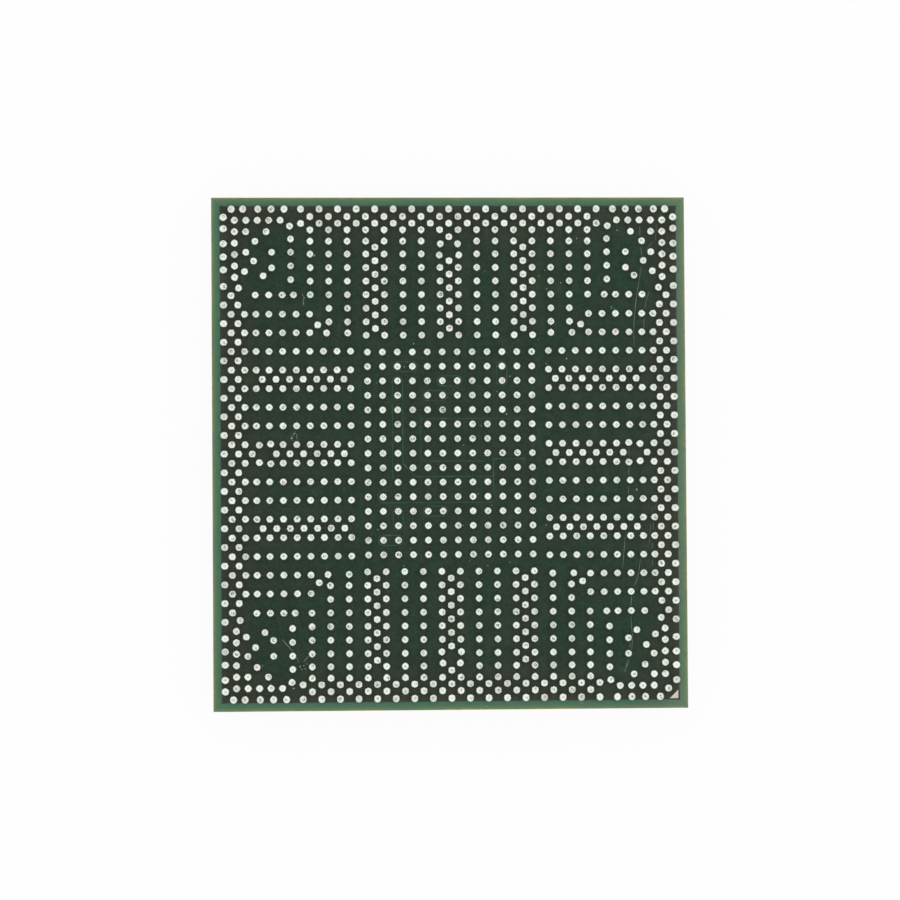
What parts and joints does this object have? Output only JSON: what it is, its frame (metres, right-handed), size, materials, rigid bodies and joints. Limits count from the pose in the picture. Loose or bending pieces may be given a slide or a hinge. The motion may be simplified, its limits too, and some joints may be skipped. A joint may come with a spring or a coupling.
{
  "type": "ball grid array package",
  "caption": "Thin square-cornered chip package lying on its bare silicon die, with a dense field of round solder balls on the face that is up.",
  "frame": {"origin": "under the middle of the substrate and of the die, in the plane of the die's back that the package lies on", "axes": "+Z out of the ball side, +Y along the longer edges, +X across; the pin-one corner is at +X, -Y"},
  "size_m": [0.025, 0.027, 0.0022],
  "materials": {
    "solder": "bright reflowed tin-silver-copper solder, with a small witness mark on each ball",
    "solder_mask": "dark green semi-gloss solder mask, browner over the copper and greener over bare laminate",
    "plated_land": "pale matt plating on the bare pin-one land",
    "copper": "copper foil under the solder mask",
    "laminate": "sawn edge of glass-fibre laminate",
    "build_up": "resin build-up film",
    "plug_resin": "resin that fills the plated holes",
    "silicon": "ground back of the bare silicon die",
    "underfill": "dark cured epoxy underfill",
    "ceramic": "brown ceramic of the chip capacitors",
    "tin": "tinned end caps of the chip capacitors"
  },
  "bodies": {
    "root": {"solder_mask_ball_side": "solder_mask", "copper_plane_ball_side": "copper", "ball_lands": "copper", "pin_one_mark": "plated_land", "buildup_ball_side": "build_up", "substrate_core": "laminate", "hole_platings": "copper", "hole_plugs": "plug_resin", "buildup_die_side": "build_up", "copper_plane_die_side": "copper", "solder_mask_die_side": "solder_mask", "silicon_die": "silicon", "die_bumps": "solder", "underfill": "underfill", "capacitor_lands": "copper", "capacitor_bodies": "ceramic", "capacitor_end_caps": "tin", "capacitor_solder": "solder", "balls_core": "solder", "balls_north_band": "solder", "balls_south_band": "solder", "balls_east_band": "solder", "balls_west_band": "solder", "balls_north_edge": "solder", "balls_south_edge": "solder", "balls_east_edge": "solder", "balls_west_edge": "solder", "balls_corner_nw": "solder", "balls_corner_ne": "solder", "balls_corner_sw": "solder", "balls_corner_pin_one": "solder"}
  },
  "joints": []
}
